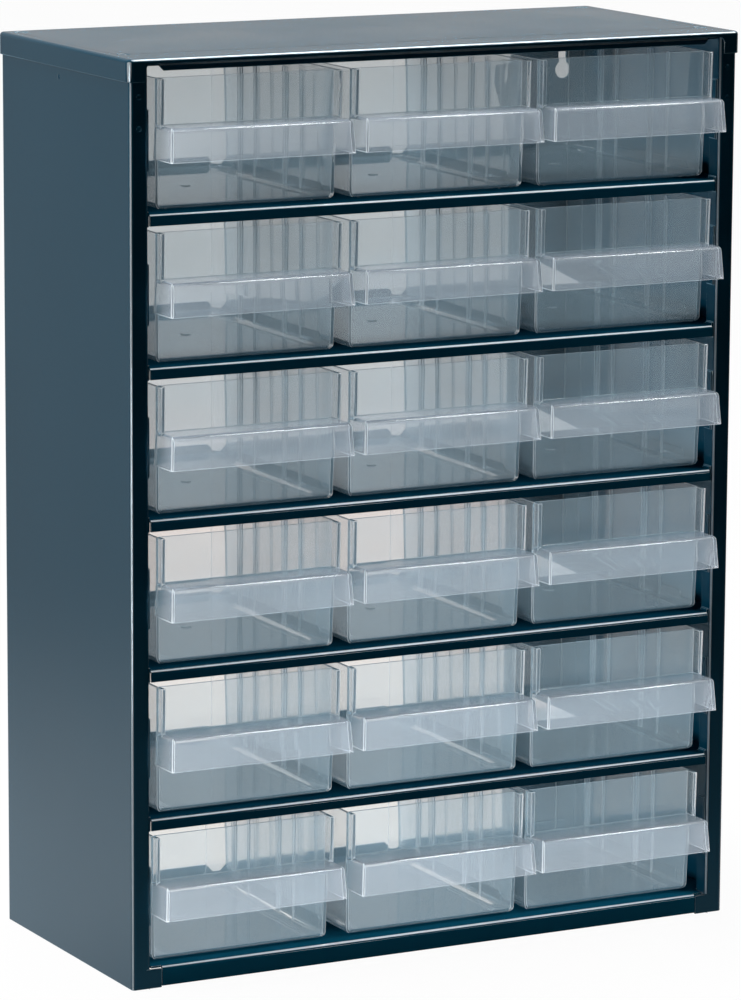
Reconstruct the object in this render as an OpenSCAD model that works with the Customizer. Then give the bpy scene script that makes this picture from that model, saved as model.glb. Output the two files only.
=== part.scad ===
// Parts bin cabinet: a folded sheet steel casing, open behind, with six rows
// of three clear drawers. Millimetres, front towards -Y, standing on z = 0,
// with the origin at the middle of the space that the whole cabinet takes.

/* [Casing] */
// Width over the top cover
case_w = 306; // [250:1:420]
// Depth of the casing, from the front of the cover to its back
case_d = 138.5; // [110:0.5:260]
// Height from one drawer floor to the next
row_pitch = 67; // [58:0.5:110]
// Height of the bottom tray's upper face above the table
tray_z = 9.6; // [8:0.1:20]
// Height from the top rail's lower edge to the top of the cover
head_h = 5.6; // [5.2:0.1:10]

/* [Sheet steel] */
// Thickness of every sheet
sheet_t = 0.9; // [0.7:0.1:1.2]
// Outer radius of the folds
fold_r = 1.6; // [1.3:0.1:2.2]
// Room between the cover and the sheets that it laps over
cover_gap = 0.3; // [0.2:0.1:0.6]
// Depth of the cover's skirt
skirt_h = 10; // [8:0.5:16]
// Radius of the cover's upright corners
cover_corner_r = 3; // [2.5:0.1:6]
// Height of the cover's front bead, between its two corner ears
bead_h = 2.4; // [2.3:0.1:3]

/* [Front posts] */
// Width of the post face at each side of the drawer opening
post_w = 8.8; // [7:0.1:14]
// Depth of the post, from its face to the end of its inner fold
post_d = 8; // [6:0.5:12]
// Width that the foot of a post stands out into the opening
foot_w = 5.4; // [4:0.1:8]
// Thickness of the pressed pads on the inner fold
pad_t = 0.9; // [0.6:0.1:1.2]
// Height of the pad beside each drawer
pad_h = 27; // [20:1:30]
// Height of that pad's lower end above the drawer's floor sheet
pad_z = 18.5; // [12:0.5:24]

/* [Shelves] */
// Height of a shelf's front lip
lip_h = 5.2; // [4:0.1:7]
// How far the lips stand back from the post faces
lip_inset = 0.6; // [0.3:0.1:2]
// Height of the turned-up strips that guide the drawers
guide_h = 6; // [4.5:0.5:8]
// Length of those strips
guide_l = 82; // [60:1:100]
// Distance of the strips behind the casing's front
guide_y = 26; // [18:1:32]
// How far the strips stand to the right of the bay borders
guide_shift = 1.6; // [0:0.1:2.5]
// Mean distance of the outermost strips inside the posts
strip_in = 1.55; // [1:0.05:4]
// Depth of the shelves' turned-down side folds
shelf_fold = 6; // [4:0.5:8]
// Height of the folds that the shelves turn up behind the drawers
rear_fold_h = 6; // [5:0.5:8]
// Width, at the top, of the notches between the bays in those folds
notch_w = 12; // [8:0.5:18]
// Depth of those notches
notch_d = 4; // [2:0.5:4]

/* [Drawers] */
// Room between the guide strips and a drawer's rim, both sides together
drawer_play = 5; // [3:0.5:8]
// Gap between a drawer's rim and the lip above it
rim_gap = 3.4; // [2:0.1:6]
// How far the rim stands back from the front of the cover
front_inset = 6.2; // [5.5:0.1:9]
// Thickness of the moulded walls
wall_t = 1.2; // [1:0.1:1.8]
// Draft of each side wall over its height
side_draft = 0.9; // [0.5:0.1:1.5]
// Draft of the front wall over its height
front_draft = 1.8; // [1:0.1:3]
// Radius of the long lower edges
bottom_r = 3; // [2.5:0.1:5]
// Radius of the lower edges in front and behind
edge_r = 2; // [1.9:0.1:4]
// Height of the runners under the floor
runner_h = 0.8; // [0.5:0.1:1]
// Room between the runners and the sheet that carries the drawer
drawer_gap = 0.3; // [0.2:0.1:0.6]
// Room between a closed drawer and the fold behind it
rear_gap = 0.5; // [0.3:0.1:1]
// How much further left the bottom row's outer drawers stand, [left, right]
bottom_row_lean = [2.8, 2]; // [0:0.1:3]

/* [Drawer front] */
// How far the side walls reach forward of the upper front wall
cheek_reach = 4.8; // [4:0.1:5.4]
// Thickness of those cheeks
cheek_t = 2.1; // [1.6:0.1:3]
// Depth of the pull's ledge below the rim
ledge_drop = 20.5; // [16:0.5:24]
// Reach of the pull in front of the front wall, at its top
pull_reach = 15.6; // [12:0.1:20]
// Height of the pull's face
pull_h = 14.8; // [12:0.1:18]
// Further reach of the face at its lower edge
pull_tilt = 1; // [0:0.1:2]
// Further width of the pull at its lower edge, each side
pull_flare = 0.8; // [0:0.1:1.5]
// Radius of the pull's upper end corners
pull_corner_r = 1.4; // [0.8:0.1:3]

/* [Drawer inside] */
// Distances of the divider slots from the front wall
slot_y = [47.5, 93]; // [40:0.5:110]
// Distances of the single ribs from the front wall
rib_y = [32, 78]; // [25:0.5:90]
// Thickness of a rib, and its height above the wall at the floor
rib_t = 0.8; // [0.6:0.1:1.2]
// Gap of a divider slot
slot_gap = 1.8; // [1.2:0.1:2.5]
// Height of the stop tongue above the rim
tongue_h = 4.8; // [3.9:0.1:6]
// Width of the stop tongue
tongue_w = 22; // [14:1:40]

/* [Rear flanges] */
// Width of the side panels' flanges, on both sides of the open back
flange_w = 41; // [36:0.5:60]
// Radius of the round part of each keyhole
keyhole_r = 4; // [3:0.1:5]
// Width of its upper slot
keyhole_slot = 4; // [3:0.1:5]
// Length of the slot above the round part's centre
keyhole_l = 11; // [8:0.5:14]
// Distance of each keyhole's centre inside the side panel's face
keyhole_in = 13.8; // [12:0.1:24]
// Depth of the keyholes' centres below the top
keyhole_drop = 29.7; // [24:0.1:60]
// Room for the screws' heads between the flanges and the shelves
head_room = 3.3; // [2.4:0.1:5]

/* [Hidden] */
$fn = 48;
rows = 6;
cols = 3;
eps = 0.01;

// Places along Y. The pulls stand proud of the casing, and the origin is
// the middle of both together.
proud = pull_reach + pull_tilt - front_inset;
front_y = -(case_d + proud) / 2 + proud;
back_y = front_y + case_d;
lap = sheet_t + cover_gap;
post_y = front_y + lap;
rear_y = back_y - lap;
inner_back_y = rear_y - sheet_t;
lip_y = post_y + lip_inset;
rim_y = front_y + front_inset;
shelf_back_y = inner_back_y - head_room;
drawer_back_y = shelf_back_y - sheet_t - rear_gap;

// Places along X and Z.
body_x = case_w / 2 - lap;
post_x = body_x - post_w;
case_h = tray_z + rows * row_pitch - lip_h + head_h;
top_z = case_h - sheet_t;
rail_z = case_h - bead_h - 0.2;
drawer_h = row_pitch - lip_h - rim_gap - runner_h - drawer_gap;
bay_pitch = 2 * (post_x - strip_in) / cols;
function sheet_z(row) = tray_z + (rows - row) * row_pitch;
function bay_x(col) = (col - (cols + 1) / 2) * bay_pitch;
guide_x = [for (i = [0 : cols]) (i - cols / 2) * bay_pitch + guide_shift];

// Drawer widths, half of each.
rim_x = (bay_pitch - sheet_t - drawer_play) / 2;
foot_x = rim_x - side_draft;

steel = [0.12, 0.24, 0.32];
clear = [0.80, 0.85, 0.88, 0.6];

// ---------------------------------------------------------------- sheet folds

// A quarter of a fold: the centre is at the origin, the metal in +X +Y.
module fold() {
    intersection() {
        difference() {
            circle(fold_r);
            circle(fold_r - sheet_t);
        }
        square(fold_r);
    }
}

// A rectangle from one corner to another.
module span(a, b) {
    translate([min(a[0], b[0]), min(a[1], b[1])])
        square([abs(b[0] - a[0]), abs(b[1] - a[1])]);
}

// A box from one corner to another.
module block(a, b) {
    translate([for (i = [0 : 2]) min(a[i], b[i])])
        cube([for (i = [0 : 2]) abs(b[i] - a[i])]);
}

// Extrudes an outline drawn in Y and Z along X, from x0 to x1.
module along_x(x0, x1) {
    translate([x0, 0, 0]) rotate([90, 0, 90]) linear_extrude(x1 - x0) children();
}

// Extrudes an outline drawn in X and Z along Y, from y0 to y1.
module along_y(y0, y1) {
    translate([0, y1, 0]) rotate([90, 0, 0]) linear_extrude(y1 - y0) children();
}

// A spot weld's low dome, standing out along -Y from the origin.
module weld_dome() {
    dome_r = 2.6;
    dome_h = 0.35;
    intersection() {
        translate([0, dome_r - dome_h, 0]) sphere(dome_r);
        block([-dome_r, -dome_r, -dome_r], [dome_r, sheet_t / 2, dome_r]);
    }
}

// ---------------------------------------------------------------- top cover

// The cover's edge: u is the distance out from the corner centres.
module cover_edge() {
    r = cover_corner_r;
    span([r - sheet_t, case_h - skirt_h], [r, case_h - fold_r]);
    translate([r - fold_r, case_h - fold_r]) fold();
    span([0, top_z], [r - fold_r, case_h]);
}

module cover_shell() {
    cx = case_w / 2 - cover_corner_r;
    cy = case_d / 2 - cover_corner_r;
    mid_y = (front_y + back_y) / 2;
    translate([0, mid_y, 0]) {
        block([-cx, -cy, top_z], [cx, cy, case_h]);
        for (s = [-1, 1]) {
            // Front and back
            rotate([0, 0, s * 90]) translate([cy, 0, 0])
                along_y(-cx, cx) cover_edge();
            // Left and right
            rotate([0, 0, s * 90 - 90]) translate([cx, 0, 0])
                along_y(-cy, cy) cover_edge();
        }
        for (i = [0 : 3])
            translate([[1, -1, -1, 1][i] * cx, [1, 1, -1, -1][i] * cy, 0])
                rotate([0, 0, i * 90])
                    rotate_extrude(angle = 90) cover_edge();
    }
}

// The gap in the front skirt: the bead stays above, an ear at each end.
module front_gap() {
    ear_w = post_w - 1.6;
    swell_r = 3;
    half = case_w / 2 - lap - ear_w;
    low = case_h - skirt_h;
    high = case_h - bead_h;
    along_y(front_y - 1, front_y + cover_corner_r) {
        span([-half, low - 1], [half, high - swell_r]);
        span([-half + swell_r, low], [half - swell_r, high]);
        for (s = [-1, 1])
            translate([s * (half - swell_r), high - swell_r]) circle(swell_r);
    }
}

// A clinch that joins the cover to a side panel: a round dent with a low dome.
module clinch_dent() {
    dent_r = 3;
    dome_r = 1.7;
    depth = 0.45;
    difference() {
        translate([0, 0, case_h - depth]) cylinder(r = dent_r, h = 1);
        translate([0, 0, case_h - depth - eps]) cylinder(r = dome_r, h = depth);
    }
}

module top_cover() {
    clinch_x = body_x - 7;
    color(steel) difference() {
        cover_shell();
        front_gap();
        for (s = [-1, 1], y = [front_y + 22, back_y - 8])
            translate([s * clinch_x, y, 0]) clinch_dent();
    }
}

// ---------------------------------------------------------------- top rail

// The rail under the cover's bead, which ties the two posts together.
module top_rail() {
    rail_d = 16;
    end_in = 5.7;
    chamfer = 2;
    low = sheet_z(0) - lip_h;
    color(steel) {
        block([-post_x, lip_y + fold_r, rail_z - sheet_t], [post_x, lip_y + rail_d, rail_z]);
        intersection() {
            along_x(-post_x, post_x) {
                translate([lip_y + fold_r, rail_z - fold_r]) mirror([1, 0]) fold();
                span([lip_y, low], [lip_y + sheet_t, rail_z - fold_r]);
            }
            along_y(lip_y - 1, lip_y + fold_r + 1)
                polygon([
                    [-post_x + end_in, rail_z + 1], [post_x - end_in, rail_z + 1],
                    [post_x - end_in, rail_z - 1], [post_x - end_in - chamfer, low],
                    [-post_x + end_in + chamfer, low], [-post_x + end_in, rail_z - 1]
                ]);
        }
    }
}

// ---------------------------------------------------------------- side panels

// The plan of a side panel: web, front post with its inner fold, rear flange.
module side_plan() {
    r = fold_r;
    span([body_x - sheet_t, post_y + r], [body_x, rear_y - r]);
    translate([body_x - r, post_y + r]) mirror([0, 1]) fold();
    span([post_x + r, post_y], [body_x - r, post_y + sheet_t]);
    translate([post_x + r, post_y + r]) rotate(180) fold();
    span([post_x, post_y + r], [post_x + sheet_t, post_y + post_d]);
    translate([body_x - r, rear_y - r]) fold();
    span([body_x - flange_w, rear_y - sheet_t], [body_x - r, rear_y]);
}

// A keyhole through the rear flange, its round part's centre on the Y axis.
module keyhole() {
    slot_top = keyhole_l - keyhole_slot / 2;
    along_y(rear_y - sheet_t - 1, rear_y + 1) {
        circle(keyhole_r);
        span([-keyhole_slot / 2, 0], [keyhole_slot / 2, slot_top]);
        translate([0, slot_top]) circle(keyhole_slot / 2);
    }
}

module right_panel() {
    rest_w = 13;
    rest_y = [post_y + post_d + 1, inner_back_y - 0.3];
    pad_y = [post_y + fold_r, post_y + post_d - 1];
    shelf_pad = [-lip_h - 0.4, 1.2];
    side_weld = [front_y + 75, case_h - 14.4];
    difference() {
        linear_extrude(top_z - cover_gap) side_plan();
        translate([body_x - keyhole_in, 0, case_h - keyhole_drop]) keyhole();
    }
    // Flanges that stand on the table and carry the cover
    for (z = [0, top_z - sheet_t])
        block([body_x - rest_w, rest_y[0], z], [body_x - sheet_t / 2, rest_y[1], z + sheet_t]);
    // Foot beside the tray's front rail
    block([post_x - foot_w, post_y, 0], [post_x + fold_r, post_y + sheet_t, tray_z - sheet_t]);
    // Pads pressed out beside each drawer
    for (row = [1 : rows])
        block([post_x - pad_t, pad_y[0], sheet_z(row) + pad_z],
              [post_x + sheet_t / 2, pad_y[1], sheet_z(row) + pad_z + pad_h]);
    // Pads that meet the shelves' front corners
    for (k = [1 : rows - 1])
        block([post_x - pad_t, pad_y[0], sheet_z(k) + shelf_pad[0]],
              [post_x + sheet_t / 2, pad_y[1], sheet_z(k) + shelf_pad[1]]);
    // Spot welds
    for (drop = [16.4, 30.1])
        translate([body_x - post_w / 2, post_y, case_h - drop]) weld_dome();
    translate([body_x, side_weld[0], side_weld[1]]) rotate([0, 0, 90]) weld_dome();
}

module left_side_panel() { color(steel) mirror([1, 0, 0]) right_panel(); }

module right_side_panel() { color(steel) right_panel(); }

// ---------------------------------------------------------------- shelves

// The strip that guides the drawers, turned up from the sheet at z.
module guide_strip(x, z) {
    r = guide_h / 2;
    y0 = front_y + guide_y;
    along_x(x - sheet_t, x) {
        span([y0, z - sheet_t], [y0 + guide_l, z + guide_h - r]);
        span([y0 + r, z], [y0 + guide_l - r, z + guide_h]);
        for (y = [y0 + r, y0 + guide_l - r])
            translate([y, z + guide_h - r]) circle(r);
    }
}

// The opening that a strip leaves in the sheet.
module guide_slot(x, z) {
    y0 = front_y + guide_y;
    block([x - guide_h - sheet_t, y0, z - 3 * sheet_t], [x - sheet_t, y0 + guide_l, z + 1]);
}

// The fold turned up behind the drawers, notched at the borders of the bays.
module rear_fold(z) {
    half = body_x - sheet_t - 8;
    low = z - sheet_t + fold_r;
    difference() {
        along_x(-half, half) {
            translate([shelf_back_y - fold_r, low]) mirror([0, 1]) fold();
            span([shelf_back_y - sheet_t, low], [shelf_back_y, z + rear_fold_h]);
        }
        for (i = [1 : cols - 1])
            translate([guide_x[i] - sheet_t / 2, 0, z + rear_fold_h])
                along_y(shelf_back_y - fold_r, shelf_back_y + 1)
                    polygon([
                        [-notch_w / 2, 1], [notch_w / 2, 1], [notch_w / 2, 0],
                        [notch_w / 6, -notch_d], [-notch_w / 6, -notch_d], [-notch_w / 2, 0]
                    ]);
    }
}

// A shelf's sheet: full width behind the posts, narrower between them, with
// a fold in front. front_x is half the width of the front fold.
module shelf_sheet(z, front_x, front_h, side_fold, inset) {
    wide = body_x - sheet_t;
    notch_y = post_y + post_d + 0.5;
    lip = post_y + inset;
    difference() {
        union() {
            block([-wide, notch_y, z - sheet_t], [wide, shelf_back_y - fold_r, z]);
            block([-post_x + pad_t, lip + fold_r, z - sheet_t], [post_x - pad_t, notch_y + 1, z]);
        }
        for (x = guide_x) guide_slot(x, z);
    }
    for (x = guide_x) guide_strip(x, z);
    // Front fold
    along_x(-front_x, front_x) {
        translate([lip + fold_r, z - fold_r]) mirror([1, 0]) fold();
        span([lip, z - front_h], [lip + sheet_t, z - fold_r]);
    }
    // Side folds, turned down along the side panels
    for (s = [-1, 1])
        block([s * (wide - sheet_t), notch_y + 2, z - side_fold], [s * wide, shelf_back_y - 4, z]);
    rear_fold(z);
}

module shelf(k) {
    color(steel) shelf_sheet(sheet_z(k), post_x - pad_t, lip_h, shelf_fold, lip_inset);
}

module bottom_tray() {
    rail_foot = 0.6;
    seam = 0.2;
    color(steel) shelf_sheet(tray_z, post_x - foot_w - seam, tray_z - rail_foot,
        tray_z - sheet_t - seam, 0);
}

// ---------------------------------------------------------------- drawers

// Trapezoid in X and Z, symmetric about X = 0, with its lower corners rounded.
module tub_section(low_x, high_x, z0, z1, r) {
    lean = atan2(high_x - low_x, z1 - z0);
    cx = low_x + r * tan(lean) - r / cos(lean);
    tip = [cx + r * cos(lean), z0 + r - r * sin(lean)];
    polygon([
        [-cx, z0], [cx, z0], tip, [high_x, z1], [-high_x, z1], [-tip[0], tip[1]]
    ]);
    for (s = [-1, 1]) translate([s * cx, z0 + r]) circle(r);
}

// Y of the front wall's outer face at height z above the floor's underside.
function front_at(z) = rim_y + front_draft * (1 - z / drawer_h);

// The tub's side view, set in by a wall's thickness, up to the height top.
module tub_profile(inset, top) {
    rear_draft = 0.8;
    r = edge_r - inset;
    back_low = drawer_back_y - rear_draft - inset;
    back_top = drawer_back_y - inset;
    polygon([
        [front_at(inset) + inset + r, inset], [back_low - r, inset],
        [back_low, inset + r], [back_top, top],
        [front_at(top) + inset, top], [front_at(inset + r) + inset, inset + r]
    ]);
    translate([front_at(inset + r) + inset + r, inset + r]) circle(r);
    translate([back_low - r, inset + r]) circle(r);
}

// The tub's outer form: two drafted profiles crossed.
module tub_outside() {
    intersection() {
        along_y(rim_y - 1, drawer_back_y + 1)
            tub_section(foot_x, rim_x, 0, drawer_h, bottom_r);
        along_x(-rim_x - 1, rim_x + 1) tub_profile(0, drawer_h);
    }
}

module tub_inside() {
    top = drawer_h + 2;
    wider = side_draft * 2 / drawer_h;
    intersection() {
        along_y(rim_y - 1, drawer_back_y + 1)
            tub_section(foot_x - wall_t, rim_x - wall_t + wider, wall_t, top, bottom_r - wall_t);
        along_x(-rim_x - 1, rim_x + 1) tub_profile(wall_t, top);
    }
}

// Cheeks: the side walls carried forward beside the upper front wall.
module cheeks() {
    low = drawer_h - ledge_drop - wall_t;
    for (s = [-1, 1]) intersection() {
        along_y(rim_y - cheek_reach - 1, rim_y + wall_t + front_draft)
            polygon([
                [s * (rim_x - cheek_t), low], [s * (rim_x - side_draft * (drawer_h - low) / drawer_h), low],
                [s * rim_x, drawer_h], [s * (rim_x - cheek_t), drawer_h]
            ]);
        along_x(-rim_x - 1, rim_x + 1)
            polygon([
                [front_at(low) - cheek_reach, low], [front_at(low) + wall_t, low],
                [rim_y + wall_t, drawer_h], [rim_y - cheek_reach, drawer_h]
            ]);
    }
}

// Front view of the pull, set in by a wall: its upper end corners are rounded.
module pull_section(inset) {
    top = drawer_h - ledge_drop - inset;
    low = drawer_h - ledge_drop - pull_h;
    half = rim_x - side_draft * ledge_drop / drawer_h - inset;
    r = max(pull_corner_r - inset, 0.4);
    translate([0, top - r]) {
        span([-half + r, -r], [half - r, r]);
        for (s = [-1, 1]) translate([s * (half - r), 0]) circle(r);
    }
    polygon([
        [-half - pull_flare, low - (inset > 0 ? 1 : 0)], [half + pull_flare, low - (inset > 0 ? 1 : 0)],
        [half, top - r], [-half, top - r]
    ]);
}

// Side view of the pull, set in by a wall, in Y and Z.
module pull_profile(inset) {
    top = drawer_h - ledge_drop - inset;
    low = drawer_h - ledge_drop - pull_h - (inset > 0 ? 1 : 0);
    face = rim_y - pull_reach + inset;
    r = 2.2 - inset;
    back = inset > 0 ? front_at(top) : front_at(top) + wall_t / 2;
    back_low = inset > 0 ? front_at(low) : front_at(low) + wall_t / 2;
    translate([face + r, top - r]) circle(r);
    span([face + r, top - r], [back, top]);
    polygon([[face, top - r], [back, top - r], [back_low, low], [face - pull_tilt, low]]);
}

module pull() {
    reach = [rim_y - pull_reach - pull_tilt - 1, rim_y + wall_t + front_draft];
    difference() {
        intersection() {
            along_y(reach[0], reach[1]) pull_section(0);
            along_x(-rim_x - 2, rim_x + 2) pull_profile(0);
        }
        intersection() {
            along_y(reach[0], reach[1]) pull_section(wall_t);
            along_x(-rim_x - 2, rim_x + 2) pull_profile(wall_t);
        }
    }
}

// Ribs on both side walls: pairs that hold a divider, and single ones.
module wall_ribs() {
    face = foot_x - wall_t - rib_t;
    ys = concat(rib_y, [for (y = slot_y, s = [-1, 1]) y + s * (slot_gap + rib_t) / 2]);
    for (s = [-1, 1], y = ys)
        block([s * face, rim_y + y - rib_t / 2, wall_t / 2],
              [s * (foot_x - wall_t / 3), rim_y + y + rib_t / 2, drawer_h - 3]);
}

// Runners under the floor, and the mark that the mould's gate leaves on it.
module floor_marks() {
    runner_x = foot_x - 7;
    for (s = [-1, 1])
        block([s * runner_x, rim_y + 8, -runner_h],
              [s * (runner_x - 1.6), drawer_back_y - 8, wall_t / 2]);
    translate([0, (rim_y + drawer_back_y) / 2, wall_t / 2]) cylinder(r = 2.2, h = wall_t / 2 + 0.4);
}

// The tongue on the rear wall that stops behind the lip in front.
module stop_tongue() {
    r = 3;
    top = drawer_h + tongue_h;
    along_y(drawer_back_y - wall_t, drawer_back_y) {
        span([-tongue_w / 2, drawer_h - 4], [tongue_w / 2, top - r]);
        span([-tongue_w / 2 + r, top - r], [tongue_w / 2 - r, top]);
        for (s = [-1, 1]) translate([s * (tongue_w / 2 - r), top - r]) circle(r);
    }
}

module drawer(row, col) {
    lean = row == rows ? [-bottom_row_lean[0], 0, -bottom_row_lean[1]][col - 1] : 0;
    x = bay_x(col) + guide_shift - sheet_t / 2 + lean;
    color(clear) translate([x, 0, sheet_z(row) + drawer_gap + runner_h]) {
        difference() {
            union() {
                tub_outside();
                cheeks();
                pull();
            }
            tub_inside();
        }
        wall_ribs();
        floor_marks();
        stop_tongue();
    }
}

top_cover();
top_rail();
left_side_panel();
right_side_panel();
bottom_tray();
for (k = [1 : rows - 1])
    shelf(k);
for (r = [1 : rows], c = [1 : cols])
    drawer(r, c);
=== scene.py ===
"""Finishes the parts bin cabinet's frame: painted sheet steel, clear moulded drawers, and a pale stage."""

from math import radians, cos, sin

import bpy
import bmesh
from mathutils import Matrix, Vector

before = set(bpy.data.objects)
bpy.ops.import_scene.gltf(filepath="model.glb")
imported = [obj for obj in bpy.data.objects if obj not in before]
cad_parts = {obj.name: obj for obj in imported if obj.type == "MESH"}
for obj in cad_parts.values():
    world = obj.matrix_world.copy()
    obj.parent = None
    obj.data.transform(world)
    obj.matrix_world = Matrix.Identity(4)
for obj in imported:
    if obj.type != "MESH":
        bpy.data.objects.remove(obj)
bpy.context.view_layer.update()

bl_info = {
    "name": "Parts Bin Cabinet",
    "version": (1, 0, 0),
    "blender": (4, 5, 0),
    "location": "3D View > Sidebar > Cabinet",
    "description": "Finishes a sheet steel cabinet with clear drawers, and its stage",
    "category": "Object",
}

CASING = [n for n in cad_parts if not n.startswith("drawer_")]
SHELVES = [n for n in CASING if n.startswith("shelf_")] + ["bottom_tray"]
DRAWERS = [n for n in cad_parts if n.startswith("drawer_")]


# ------------------------------------------------------------------ places and values

# Distances are in metres, and Y grows towards the back.

# Corner points closer together than this are merged, and edges sharper than this are rounded
WELD_GAP = 0.000004
SHARP_ANGLE = radians(35)

# The ways that the crowns of the level and the upright front folds face. A highlight is painted where
# the cosine of its angle to one of them is over the first number, and is full over the second.
CROWNS = (0.0, -0.7071, 0.7071), (-0.7071, -0.7071, 0.0)
FOLD_HIGHLIGHT_RANGE = 0.92, 0.97

# The materials' noises: the scale per metre, the detail, and the values that count as low and high
PEEL_DETAIL = 1.5
GLOSS_SCALE, GLOSS_DETAIL, GLOSS_RANGE = 14.0, 3.0, (0.3, 0.7)
CLOUD_SCALE, CLOUD_DETAIL, CLOUD_RANGE = 5.0, 2.0, (0.35, 0.7)
FLOW_SCALE, FLOW_DETAIL, FLOW_RANGE = 45.0, 2.0, (0.3, 0.7)
# What low and high add to the paint's roughness, and by what they multiply the plastic's roughness and haze
PAINT_DRIFT = -0.03, 0.04
BLUR_DRIFT, HAZE_DRIFT = (0.8, 1.3), (0.9, 1.12)

PAINT_IOR, PLASTIC_IOR = 1.5, 1.49
SKIN_ROUGHNESS, FLOOR_ROUGHNESS = 0.1, 0.8
# The Y where a drawer's pull ends and where its front wall begins
PULL_END, WALL_START = -0.064, -0.0605
# The share of scattered light that goes on through a wall, and what a wall leaves of a lamp's light
ON_SHARE = 0.5
WALL_FILTER = (0.9, 0.915, 0.925)

WHITE, BLACK = (1.0, 1.0, 1.0), (0.0, 0.0, 0.0)
FLOOR_RADIUS, FLOOR_SIDES = 12.0, 64
# The share of the floor's own glow that the camera sees. The rest is lit, and keeps a soft shadow.
CAMERA_GLOW = 0.96

# Bands: a value goes from the third number to the fourth while a distance, or a part of a direction, goes
# from the first to the second.
NEAR_ALONG_Y = -0.25, 0.1, 0.35, 1.0
NEAR_AWAY = 0.22, 0.95, 1.0, 0.0
# The bright board on the floor lies left of an X and between two bearings, each a Y divided by an X
BOARD_ALONG_X = -0.35, -0.5, 0.0, 1.0
BOARD_START, BOARD_END = (0.35, 0.45, 0.0, 1.0), (0.7, 0.6, 0.0, 1.0)
# X is held under this, so that the bearing is never divided by nothing
LEFT_OF_MIDDLE = -0.001
BOUNCE_ALONG_Y = -0.25, 0.15, 0.04, 0.5
BOUNCE_AWAY = 0.2, 0.6, 0.45, 0.0
SKY_OVERHEAD = 0.3, 0.6, 0.0, 1.2
# Where front turns to back: for the far floor and the sky as the paint mirrors them, and for the sky's light
FLOOR_TURN, SKY_TURN, LIGHT_TURN = (-0.3, 0.3), (-0.2, 0.3), (-0.15, 0.5)
FAR_FLOOR = 0.46
# The way to the bright patch of sky for the level folds to mirror, and its edge as the cosine of an angle
PATCH, PATCH_EDGE = (0.457, -0.185, 0.87), (0.955, 0.975)
# The sky that the drawers show, and the floor that they show: its tone at shares of a reach from the middle
SKY_THROUGH = (0.5, 0.5, 0.5)
THROUGH_REACH = 2.5
THROUGH_TONES = (
    (0.16, (1.0, 0.93, 0.865)), (0.28, (1.0, 0.885, 0.81)), (0.42, (0.9, 0.79, 0.735)),
    (0.58, (0.68, 0.67, 0.66)), (0.82, (0.58, 0.58, 0.57)),
)

# Each lamp's name, place, the point it faces, its width and height, the nodes it lights if not all, and the
# rays besides the camera's that don't show it. Its power is the setting with its name.
MIDDLE, FOOT = (0.0, 0.0, 0.2), (0.0, 0.0, 0.1)
UNMIRRORED, UNSEEN = ["visible_glossy"], ["visible_glossy", "visible_transmission"]
LAMPS = (
    ("side", (-2.0, 0.5, 0.9), MIDDLE, (1.3, 1.1), None, UNMIRRORED),
    ("top", (-0.15, 0.22, 1.9), MIDDLE, (1.2, 0.6), None, UNMIRRORED),
    ("lip", (0.95, -0.39, 2.0), MIDDLE, (0.9, 0.6), SHELVES, []),
    ("fill", (-0.1, -0.8, 0.5), MIDDLE, (0.5, 0.3), DRAWERS, UNSEEN),
    ("low", (0.0, -0.3, 0.01), FOOT, (0.5, 0.14), DRAWERS, UNSEEN),
    ("rear", (-0.55, 0.75, 0.34), MIDDLE, (0.3, 0.3), ["right_side_panel"], UNSEEN),
)

SENSOR_WIDTH = 36.0
FAR_CLIP = 60.0


# ------------------------------------------------------------------ settings


def colour(name, description, default):
    return bpy.props.FloatVectorProperty(
        name=name, description=description, default=default, subtype="COLOR", size=3, min=0.0, max=1.0
    )


def length(name, description, default):
    return bpy.props.FloatProperty(
        name=name, description=description, default=default, min=0.0, subtype="DISTANCE", unit="LENGTH"
    )


def share(name, description, default):
    return bpy.props.FloatProperty(
        name=name, description=description, default=default, min=0.0, max=1.0, subtype="FACTOR"
    )


def number(name, description, default):
    return bpy.props.FloatProperty(name=name, description=description, default=default, min=0.0)


class CabinetPaint(bpy.types.PropertyGroup):
    """The paint on the casing's sheets."""

    tone: colour("Paint", "Colour of the paint", (0.0012, 0.031, 0.056))
    cloud_tone: colour("Paint Cloud", "Colour that the paint drifts towards", (0.002, 0.037, 0.066))
    # The tray's tone is the paint made lighter: painted light for the light that the bottom tray catches
    tray_tone: colour("Tray", "Colour of the bottom tray, which is sprayed thicker", (0.004, 0.068, 0.115))
    # A painted highlight: a lighter tone on the rounding of the sheets' cut edges, for the light lines along
    # them
    edge_highlight_tone: colour("Painted Edge Highlight", "Colour of the paint where it thins over cut edges", (0.2, 0.35, 0.43))
    # A painted highlight: a lighter tone on the crowns of the casing's front folds, not wear
    fold_highlight_tone: colour("Painted Fold Highlight", "Colour of the front folds' crowns, which hands rub", (0.5, 0.56, 0.6))
    gloss_tone: colour("Gloss", "Tint of what the paint mirrors when it is seen square on", (0.12, 0.52, 0.8))
    gloss: share("Gloss Strength", "Strength of the mirroring, where a half is plain paint", 0.5)
    inner_gloss: share("Inner Gloss Strength", "The same on the shelves and the tray", 0.0)
    # A painted highlight: a near-white tone along the crowns of the shelves' front folds, not bare metal
    lip_highlight_tone: colour("Painted Lip Highlight", "Colour of the shelves' front folds, rubbed bare", (0.8, 0.85, 0.88))
    roughness: share("Roughness", "How far the paint scatters what it mirrors", 0.2)
    coat: share("Clear Skin", "Strength of the untinted gloss on top of the paint", 0.1)
    fold_coat: share("Fold Skin", "The same on the front folds' crowns, which are rubbed smooth", 0.8)
    peel_height: length("Peel Height", "Height of the paint's fine orange peel", 0.000012)
    peel_size: length("Peel Size", "Distance between the orange peel's dimples", 0.0011)
    edge_round: length("Edge Radius", "Rounding of the sheets' cut edges", 0.00028)


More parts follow.
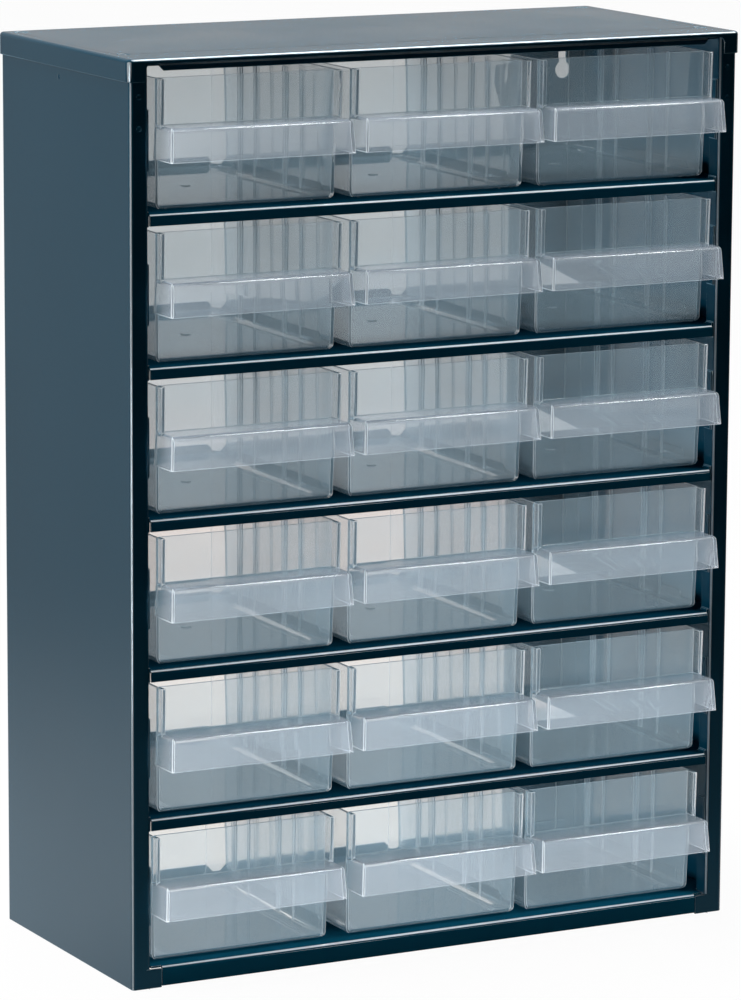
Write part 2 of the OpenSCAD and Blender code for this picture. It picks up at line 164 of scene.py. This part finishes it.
class CabinetPlastic(bpy.types.PropertyGroup):
    """The drawers' clear plastic."""

    tone: colour("Plastic", "Tint of the light that goes through a wall", (0.95, 0.945, 0.94))
    haze_tone: colour("Haze", "Colour of the light that the plastic scatters back", (0.52, 0.768, 0.92))
    # A painted highlight: the moulded edges scatter more and paler light, for the glints along them
    edge_highlight_tone: colour("Edges", "Colour of the light that the moulded edges scatter", (0.88, 0.93, 0.97))
    # The pulls' stronger, paler haze is partly their thicker plastic and partly painted light for the light
    # they catch from above
    pull_tone: colour("Pulls", "Colour of the light that the thicker pulls scatter", (0.66, 0.751, 0.845))
    haze: share("Haze Share", "Share of light that each surface scatters", 0.11)
    pull_haze: share("Pull Haze Share", "The same share on the pulls, which are thicker", 0.175)
    edge_highlight_haze: share("Edge Haze Share", "The same share on the walls' edges, where light gathers", 0.35)
    pull_edge_highlight_haze: share("Pull Edge Haze Share", "The same share on the pulls' edges", 0.75)
    roughness: share("Roughness", "How far each surface blurs what is behind it", 0.018)
    edge_round: length("Edge Radius", "Rounding of the mouldings' edges", 0.0003)


class CabinetStage(bpy.types.PropertyGroup):
    """Floor, lamps and camera."""

    floor_tone: colour("Floor", "Colour of the floor", (0.90, 0.90, 0.90))
    top_power: number("Top Lamp", "Power of the large lamp above, a little behind, in watts", 32.0)
    side_power: number("Side Lamp", "Power of the lamp on the left, a little behind, in watts", 32.0)
    lip_power: number("Lip Lamp", "Power of the lamp high up, for the shelves and tray only, in watts", 45.0)
    fill_power: number("Fill Lamp", "Power of the lamp in front, for the drawers only, in watts", 2.4)
    low_power: number("Low Lamp", "Power of the lamp low in front, for the drawers only, in watts", 2.4)
    rear_power: number("Rear Lamp", "Power of the lamp behind, for the right side panel only, in watts", 17.0)
    fold_light: number("Fold Light", "Brightness of the board and sky for the front folds to mirror", 20.0)
    back_sky: share("Sky Behind", "Strength of the even light from behind and from the sides", 0.55)
    front_sky: share("Sky In Front", "Strength of the even light from in front", 0.018)
    mirrored_back: share("Mirrored Back", "Strength of the sky behind, as the paint mirrors it", 0.5)
    mirrored_front: share("Mirrored Front", "Strength of what is in front, as the paint mirrors it", 0.015)
    azimuth: bpy.props.FloatProperty(
        name="Azimuth", description="The camera's turn round the cabinet", default=radians(-27.689),
        subtype="ANGLE",
    )
    elevation: bpy.props.FloatProperty(
        name="Elevation", description="The camera's height above the horizon", default=radians(10.676),
        subtype="ANGLE",
    )
    roll: bpy.props.FloatProperty(
        name="Roll", description="The camera's lean", default=radians(0.296), subtype="ANGLE"
    )
    distance: length("Distance", "The camera's distance from the point it looks at", 2.3861)
    target: bpy.props.FloatVectorProperty(
        name="Target", description="The point the camera looks at", default=(-0.00156, 0.0, 0.19759),
        subtype="TRANSLATION",
    )
    lens: bpy.props.FloatProperty(
        name="Lens", description="Focal length", default=187.53, min=1.0, unit="CAMERA"
    )


# ------------------------------------------------------------------ node helpers


def solid(tone):
    """A colour with the alpha that a socket wants. A node's output stays as it is."""
    return tone if isinstance(tone, bpy.types.NodeSocket) else (*tone, 1.0)


class Tree:
    """Adds nodes to one node tree and links them."""

    def __init__(self, tree):
        self.tree = tree

    def node(self, kind, inputs=None, **settings):
        """Adds a node with these settings. Its inputs are linked to outputs or set to values."""
        made = self.tree.nodes.new(kind)
        for key, value in settings.items():
            setattr(made, key, value)
        for key, value in (inputs or {}).items():
            socket = made.inputs[key]
            if isinstance(value, bpy.types.NodeSocket):
                self.join(value, socket)
            else:
                socket.default_value = value
        return made

    def join(self, output, socket):
        """Links an output to an input."""
        self.tree.links.new(output, socket)

    def math(self, operation, a, b=0.0):
        return self.node("ShaderNodeMath", {0: a, 1: b}, operation=operation).outputs[0]

    def noise(self, place, scale, detail):
        return self.node("ShaderNodeTexNoise", {"Vector": place, "Scale": scale, "Detail": detail}).outputs[0]

    def facing(self, direction, way):
        """The cosine of the angle between two directions."""
        inputs = {0: direction, 1: way}
        return self.node("ShaderNodeVectorMath", inputs, operation="DOT_PRODUCT").outputs["Value"]

    def mapped(self, value, low, high, to_low=0.0, to_high=1.0, kind="LINEAR"):
        """A number that goes from to_low to to_high while value goes from low to high."""
        inputs = {0: value, 1: low, 2: high, 3: to_low, 4: to_high}
        return self.node("ShaderNodeMapRange", inputs, interpolation_type=kind).outputs[0]

    def eased(self, value, low, high, to_low=0.0, to_high=1.0):
        """The same with soft ends."""
        return self.mapped(value, low, high, to_low, to_high, "SMOOTHSTEP")

    def ramp(self, value, stops):
        """A colour that changes with value through the stops, each a place from 0 to 1 and a colour."""
        made = self.node("ShaderNodeValToRGB", {0: value})
        elements = made.color_ramp.elements
        while len(elements) < len(stops):
            elements.new(0.5)
        for element, (place, tone) in zip(elements, stops):
            element.position = place
            element.color = solid(tone)
        return made.outputs[0]

    def blend(self, factor, a, b):
        """A colour that goes from a to b while factor goes from 0 to 1."""
        inputs = {0: factor, 6: solid(a), 7: solid(b)}
        return self.node("ShaderNodeMix", inputs, data_type="RGBA").outputs[2]

    def mixed(self, factor, a, b):
        """The same for the shaders of two nodes. Returns the node."""
        return self.node("ShaderNodeMixShader", {0: factor, 1: a.outputs[0], 2: b.outputs[0]})


def new_group(name, inputs, outputs):
    """A node group with vector inputs, number inputs with their defaults, and number outputs.

    Returns it with its helper and its two end nodes."""
    group = bpy.data.node_groups.new(name, "ShaderNodeTree")
    for title, default in inputs.items():
        kind = "NodeSocketVector" if default is None else "NodeSocketFloat"
        socket = group.interface.new_socket(title, in_out="INPUT", socket_type=kind)
        if default is not None:
            socket.default_value = default
    for title in outputs:
        group.interface.new_socket(title, in_out="OUTPUT", socket_type="NodeSocketFloat")
    tree = Tree(group)
    return group, tree, tree.node("NodeGroupInput"), tree.node("NodeGroupOutput")


def new_material(name):
    """An empty material with an output node. Returns it with its helper and that node."""
    material = bpy.data.materials.new(name)
    material.use_nodes = True
    material.node_tree.nodes.clear()
    tree = Tree(material.node_tree)
    return material, tree, tree.node("ShaderNodeOutputMaterial")


def give(obj, *materials):
    """Puts the materials in the object's slots, in order."""
    obj.data.materials.clear()
    for material in materials:
        obj.data.materials.append(material)


def paint_skin_group():
    """What all the paint has: fine orange peel, slow drifts in gloss and tone, and the folds' painted
    highlight.
    """
    group, tree, start, end = new_group(
        "Paint Skin",
        {"Vector": None, "Normal": None, "Peel Size": 0.0011},
        ("Height", "Gloss", "Cloud", "Wear"),
    )
    per_metre = tree.math("DIVIDE", 1.0, start.outputs["Peel Size"])
    for title, scale, detail in (
        ("Height", per_metre, PEEL_DETAIL),
        ("Gloss", GLOSS_SCALE, GLOSS_DETAIL),
        ("Cloud", CLOUD_SCALE, CLOUD_DETAIL),
    ):
        tree.join(tree.noise(start.outputs["Vector"], scale, detail), end.inputs[title])
    # Mask of the front folds' crowns, where a highlight is painted into the colour
    level, upright = (tree.mapped(tree.facing(start.outputs["Normal"], crown), *FOLD_HIGHLIGHT_RANGE) for crown in CROWNS)
    tree.join(tree.math("MAXIMUM", level, upright), end.inputs["Wear"])
    return group


def painted_steel(name, settings, skin, tones, highlight_tone, gloss):
    """Sprayed steel in one tone or drifting between two, with a painted highlight on the folds, and a gloss.
    """
    material, tree, out = new_material(name)
    place = tree.node("ShaderNodeTexCoord").outputs
    inputs = {"Vector": place["Object"], "Normal": place["Normal"], "Peel Size": settings.peel_size}
    surface = tree.node("ShaderNodeGroup", inputs, node_tree=skin).outputs
    colour = tones[0]
    if len(tones) == 2:
        colour = tree.blend(tree.mapped(surface["Cloud"], *CLOUD_RANGE), *tones)
    # Painted highlight: the folds' crowns take the highlight tone
    colour = tree.blend(surface["Wear"], colour, highlight_tone)
    ends = [settings.roughness + step for step in PAINT_DRIFT]
    rough = tree.mapped(surface["Gloss"], *GLOSS_RANGE, *ends)
    bump = tree.node("ShaderNodeBump", {"Height": surface["Height"], "Distance": settings.peel_height})
    coat = tree.mapped(surface["Wear"], 0.0, 1.0, settings.coat * gloss, settings.fold_coat)
    shader = tree.node("ShaderNodeBsdfPrincipled", {
        "Base Color": colour, "Roughness": rough, "Normal": bump.outputs[0], "IOR": PAINT_IOR,
        "Specular Tint": solid(settings.gloss_tone), "Specular IOR Level": gloss,
        "Coat Weight": coat, "Coat Roughness": SKIN_ROUGHNESS,
    })
    tree.join(shader.outputs[0], out.inputs["Surface"])
    return material


def moulding_group():
    """What all the plastic has: drifts in roughness and haze as it flowed, and a mask of the pull."""
    group, tree, start, end = new_group(
        "Moulding",
        {"Vector": None, "Roughness": 0.018, "Wall Haze": 0.11, "Pull Haze": 0.175},
        ("Roughness", "Haze", "Pull"),
    )
    _, along_y, _ = tree.node("ShaderNodeSeparateXYZ", {0: start.outputs["Vector"]}).outputs
    # The pull mask raises the haze: partly thicker plastic, partly painted light
    pull = tree.eased(along_y, PULL_END, WALL_START, 1.0, 0.0)
    haze = tree.mapped(pull, 0.0, 1.0, start.outputs["Wall Haze"], start.outputs["Pull Haze"])
    flow = tree.noise(start.outputs["Vector"], FLOW_SCALE, FLOW_DETAIL)
    rough = tree.math("MULTIPLY", start.outputs["Roughness"], tree.mapped(flow, *FLOW_RANGE, *BLUR_DRIFT))
    haze = tree.math("MULTIPLY", haze, tree.mapped(flow, *FLOW_RANGE, *HAZE_DRIFT))
    tree.join(rough, end.inputs["Roughness"])
    tree.join(haze, end.inputs["Haze"])
    tree.join(pull, end.inputs["Pull"])
    return group


def clear_plastic(name, settings, moulding, hazes, tones):
    """Clear plastic that scatters a share of the light.

    The hazes are the shares of the walls and of the pull, and the tones are one for both, or two. Rays to
    lamps pass, so that what is behind is lit."""
    material, tree, out = new_material(name)
    place = tree.node("ShaderNodeTexCoord").outputs["Object"]
    inputs = {"Vector": place, "Roughness": settings.roughness, "Wall Haze": hazes[0], "Pull Haze": hazes[1]}
    surface = tree.node("ShaderNodeGroup", inputs, node_tree=moulding).outputs
    glass = tree.node("ShaderNodeBsdfPrincipled", {
        "Base Color": solid(settings.tone), "Roughness": surface["Roughness"], "IOR": PLASTIC_IOR,
        "Transmission Weight": 1.0,
    })
    tone = tree.blend(surface["Pull"], *tones) if len(tones) == 2 else solid(tones[0])
    back = tree.node("ShaderNodeBsdfDiffuse", {"Color": tone})
    on = tree.node("ShaderNodeBsdfTranslucent", {"Color": tone})
    milk = tree.mixed(ON_SHARE, back, on)
    to_lamp = tree.node("ShaderNodeLightPath").outputs["Is Shadow Ray"]
    film = tree.node("ShaderNodeBsdfTransparent", {"Color": solid(WALL_FILTER)})
    mix = tree.mixed(to_lamp, tree.mixed(surface["Haze"], glass, milk), film)
    tree.join(mix.outputs[0], out.inputs["Surface"])
    return material


# ------------------------------------------------------------------ the cabinet


def soften_edges(obj, radius):
    """Rounds a frame node's sharp edges with live modifiers. The rounding takes the second material."""
    weld = obj.modifiers.new("Weld", "WELD")
    weld.merge_threshold = WELD_GAP
    bevel = obj.modifiers.new("Edges", "BEVEL")
    bevel.width = radius
    bevel.segments = 2
    bevel.limit_method = "ANGLE"
    bevel.angle_limit = SHARP_ANGLE
    bevel.harden_normals = True
    bevel.use_clamp_overlap = False
    bevel.material = 1


class OBJECT_OT_cabinet_casing(bpy.types.Operator):
    """Paints the casing's sheets and softens their cut edges"""

    bl_idname = "object.cabinet_casing"
    bl_label = "Finish Casing"

    def execute(self, context):
        settings = context.scene.cabinet_paint
        skin = paint_skin_group()
        paint = settings.tone, settings.cloud_tone
        # The rounded cut edges take a painted highlight tone
        edge_highlight_paint = settings.edge_highlight_tone, settings.tone
        # The tray takes a lighter copy of the paint, painted light
        tray_lit_paint = (settings.tray_tone,)
        outer = settings.fold_highlight_tone, settings.gloss
        inner = settings.lip_highlight_tone, settings.inner_gloss
        sheet = painted_steel("Painted Steel", settings, skin, paint, *outer)
        sheet_edge = painted_steel("Painted Edge", settings, skin, edge_highlight_paint, *outer)
        shelf = painted_steel("Painted Shelf", settings, skin, paint, *inner)
        shelf_edge = painted_steel("Painted Shelf Edge", settings, skin, paint, *inner)
        tray = painted_steel("Painted Tray", settings, skin, tray_lit_paint, *inner)
        for name in CASING:
            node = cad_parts[name]
            if name == "bottom_tray":
                give(node, tray, shelf_edge)
            elif name in SHELVES:
                give(node, shelf, shelf_edge)
            else:
                give(node, sheet, sheet_edge)
            soften_edges(node, settings.edge_round)
        return {"FINISHED"}


class OBJECT_OT_cabinet_drawers(bpy.types.Operator):
    """Gives the drawers their clear plastic and softens their edges"""

    bl_idname = "object.cabinet_drawers"
    bl_label = "Finish Drawers"

    def execute(self, context):
        settings = context.scene.cabinet_plastic
        moulding = moulding_group()
        wall_hazes = settings.haze, settings.pull_haze
        # The edges' rounding gets a painted highlight: more and paler scattered light
        edge_highlight_hazes = settings.edge_highlight_haze, settings.pull_edge_highlight_haze
        wall_tones = settings.haze_tone, settings.pull_tone
        edge_highlight_tones = (settings.edge_highlight_tone,)
        plastic = clear_plastic("Clear Plastic", settings, moulding, wall_hazes, wall_tones)
        edge = clear_plastic("Clear Plastic Edge", settings, moulding, edge_highlight_hazes, edge_highlight_tones)
        for name in DRAWERS:
            give(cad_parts[name], plastic, edge)
            soften_edges(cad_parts[name], settings.edge_round)
        return {"FINISHED"}


# ------------------------------------------------------------------ stage


def floor_mirrored(tree, settings, along_x, along_y, away):
    """The floor as the paint mirrors it: bright close by and behind, dark in front but for a board."""
    near = tree.math("MULTIPLY", tree.eased(along_y, *NEAR_ALONG_Y), tree.eased(away, *NEAR_AWAY))
    far = tree.eased(along_y, *FLOOR_TURN, settings.mirrored_front, FAR_FLOOR)
    mirrored = tree.math("ADD", far, tree.math("MULTIPLY", near, tree.math("SUBTRACT", 1.0, far)))
    # A bright board in front on the left, for the upright folds to mirror
    bearing = tree.math("DIVIDE", along_y, tree.math("MINIMUM", along_x, LEFT_OF_MIDDLE))
    board = tree.math("MULTIPLY", tree.mapped(bearing, *BOARD_START), tree.mapped(bearing, *BOARD_END))
    board = tree.math("MULTIPLY", tree.mapped(along_x, *BOARD_ALONG_X), board)
    mirrored = tree.math("MAXIMUM", mirrored, tree.math("MULTIPLY", board, settings.fold_light))
    return tree.node("ShaderNodeCombineXYZ", {0: mirrored, 1: mirrored, 2: mirrored}).outputs[0]


def floor_bounce(tree, settings, along_y, away):
    """The floor as it throws light back: much close by, some behind, little from in front."""
    bounce = tree.math("MAXIMUM", tree.eased(along_y, *BOUNCE_ALONG_Y), tree.eased(away, *BOUNCE_AWAY))
    return tree.blend(bounce, BLACK, settings.floor_tone)


def floor_material(settings):
    """A pale floor that keeps a soft shadow, and glows for the camera, in mirrors and through plastic."""
    material, tree, out = new_material("Floor")
    place = tree.node("ShaderNodeTexCoord").outputs["Object"]
    along_x, along_y, _ = tree.node("ShaderNodeSeparateXYZ", {0: place}).outputs
    away = tree.node("ShaderNodeVectorMath", {0: place}, operation="LENGTH").outputs["Value"]
    ray = tree.node("ShaderNodeLightPath").outputs
    mirrored = floor_mirrored(tree, settings, along_x, along_y, away)
    through = tree.ramp(tree.mapped(away, 0.0, THROUGH_REACH), THROUGH_TONES)
    glow_tone = tree.blend(ray["Is Camera Ray"], mirrored, WHITE)
    glow_tone = tree.blend(ray["Is Transmission Ray"], glow_tone, through)
    glow_share = tree.math("MULTIPLY", ray["Is Camera Ray"], CAMERA_GLOW)
    for kind in ("Is Glossy Ray", "Is Transmission Ray"):
        glow_share = tree.math("MAXIMUM", glow_share, ray[kind])
    tone = tree.blend(ray["Is Diffuse Ray"], settings.floor_tone, floor_bounce(tree, settings, along_y, away))
    base = tree.node("ShaderNodeBsdfPrincipled", {"Base Color": tone, "Roughness": FLOOR_ROUGHNESS})
    glow = tree.node("ShaderNodeEmission", {"Color": glow_tone, "Strength": 1.0})
    tree.join(tree.mixed(glow_share, base, glow).outputs[0], out.inputs["Surface"])
    return material


def studio_world(settings):
    """A white sky that lights, is mirrored and shows through plastic each with its own strength."""
    world = bpy.data.worlds.new("Studio")
    world.use_nodes = True
    world.node_tree.nodes.clear()
    tree = Tree(world.node_tree)
    direction = tree.node("ShaderNodeTexCoord").outputs["Generated"]
    _, along_y, along_z = tree.node("ShaderNodeSeparateXYZ", {0: direction}).outputs
    light = tree.eased(along_y, *LIGHT_TURN, settings.front_sky, settings.back_sky)
    mirrored = tree.eased(along_y, *SKY_TURN, settings.mirrored_front, settings.mirrored_back)
    mirrored = tree.math("MAXIMUM", mirrored, tree.eased(along_z, *SKY_OVERHEAD))
    patch = tree.mapped(tree.facing(direction, PATCH), *PATCH_EDGE, 0.0, settings.fold_light)
    mirrored = tree.math("MAXIMUM", mirrored, patch)
    ray = tree.node("ShaderNodeLightPath").outputs
    strength = tree.blend(ray["Is Glossy Ray"], light, mirrored)
    strength = tree.blend(ray["Is Transmission Ray"], strength, SKY_THROUGH)
    strength = tree.blend(ray["Is Camera Ray"], strength, WHITE)
    sky = tree.node("ShaderNodeBackground", {"Color": strength, "Strength": 1.0})
    out = tree.node("ShaderNodeOutputWorld")
    tree.join(sky.outputs[0], out.inputs["Surface"])
    return world


def add_lamp(name, place, faced, size, lit_nodes, hidden, power):
    """Hangs an area lamp that the camera doesn't see. It lights only the given nodes, or everything."""
    data = bpy.data.lights.new(name, "AREA")
    data.shape = "RECTANGLE"
    data.size, data.size_y = size
    data.energy = power
    lamp = bpy.data.objects.new(name, data)
    bpy.context.scene.collection.objects.link(lamp)
    lamp.location = place
    lamp.rotation_euler = (Vector(faced) - Vector(place)).to_track_quat("-Z", "Y").to_euler()
    for kind in ["visible_camera"] + hidden:
        setattr(lamp, kind, False)
    if lit_nodes:
        lit = bpy.data.collections.new("lit by " + name)
        for node in lit_nodes:
            lit.objects.link(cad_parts[node])
        lamp.light_linking.receiver_collection = lit


class OBJECT_OT_cabinet_stage(bpy.types.Operator):
    """Lays the floor, hangs the lamps and sets the camera"""

    bl_idname = "object.cabinet_stage"
    bl_label = "Set Stage"

    def execute(self, context):
        scene = context.scene
        settings = scene.cabinet_stage
        self.lay_floor(settings)
        scene.world = studio_world(settings)
        for name, *lamp in LAMPS:
            add_lamp(name, *lamp, getattr(settings, name + "_power"))
        self.aim(scene, settings)
        scene.view_settings.view_transform = "Standard"
        return {"FINISHED"}

    def lay_floor(self, settings):
        """Lays a round floor under the cabinet."""
        shape = bmesh.new()
        bmesh.ops.create_circle(shape, cap_ends=True, segments=FLOOR_SIDES, radius=FLOOR_RADIUS)
        mesh = bpy.data.meshes.new("floor")
        shape.to_mesh(mesh)
        shape.free()
        floor = bpy.data.objects.new("floor", mesh)
        bpy.context.scene.collection.objects.link(floor)
        give(floor, floor_material(settings))

    def aim(self, scene, settings):
        """Sets the camera at its turn and height round the target, and leans it."""
        turn, rise, lean = settings.azimuth, settings.elevation, settings.roll
        back = Vector((sin(turn) * cos(rise), -cos(turn) * cos(rise), sin(rise)))
        right = Vector((0.0, 0.0, 1.0)).cross(back).normalized()
        up = back.cross(right)
        across = right * cos(lean) + up * sin(lean)
        upright = up * cos(lean) - right * sin(lean)
        data = bpy.data.cameras.new("camera")
        data.lens = settings.lens
        data.sensor_width = SENSOR_WIDTH
        data.clip_end = FAR_CLIP
        camera = bpy.data.objects.new("camera", data)
        scene.collection.objects.link(camera)
        axes = Matrix((across, upright, back)).transposed().to_4x4()
        camera.matrix_world = Matrix.Translation(Vector(settings.target) + back * settings.distance) @ axes
        scene.camera = camera


class VIEW3D_PT_cabinet(bpy.types.Panel):
    """Lists the cabinet's settings and steps"""

    bl_idname = "VIEW3D_PT_cabinet"
    bl_label = "Parts Bin Cabinet"
    bl_space_type = "VIEW_3D"
    bl_region_type = "UI"
    bl_category = "Cabinet"

    def draw(self, context):
        for name, step in STEPS:
            box = self.layout.box()
            box.operator(step.bl_idname)
            group = getattr(context.scene, name)
            for key in group.__annotations__:
                box.prop(group, key)


STEPS = (
    ("cabinet_paint", OBJECT_OT_cabinet_casing),
    ("cabinet_plastic", OBJECT_OT_cabinet_drawers),
    ("cabinet_stage", OBJECT_OT_cabinet_stage),
)
GROUPS = (CabinetPaint, CabinetPlastic, CabinetStage)
CLASSES = (*GROUPS, *(step for _, step in STEPS), VIEW3D_PT_cabinet)


def register():
    for cls in CLASSES:
        bpy.utils.register_class(cls)
    for (name, _), group in zip(STEPS, GROUPS):
        setattr(bpy.types.Scene, name, bpy.props.PointerProperty(type=group))


def unregister():
    for name, _ in STEPS:
        delattr(bpy.types.Scene, name)
    for cls in reversed(CLASSES):
        bpy.utils.unregister_class(cls)


def main():
    register()
    bpy.ops.object.cabinet_casing()
    bpy.ops.object.cabinet_drawers()
    bpy.ops.object.cabinet_stage()


if __name__ == "__main__":
    main()
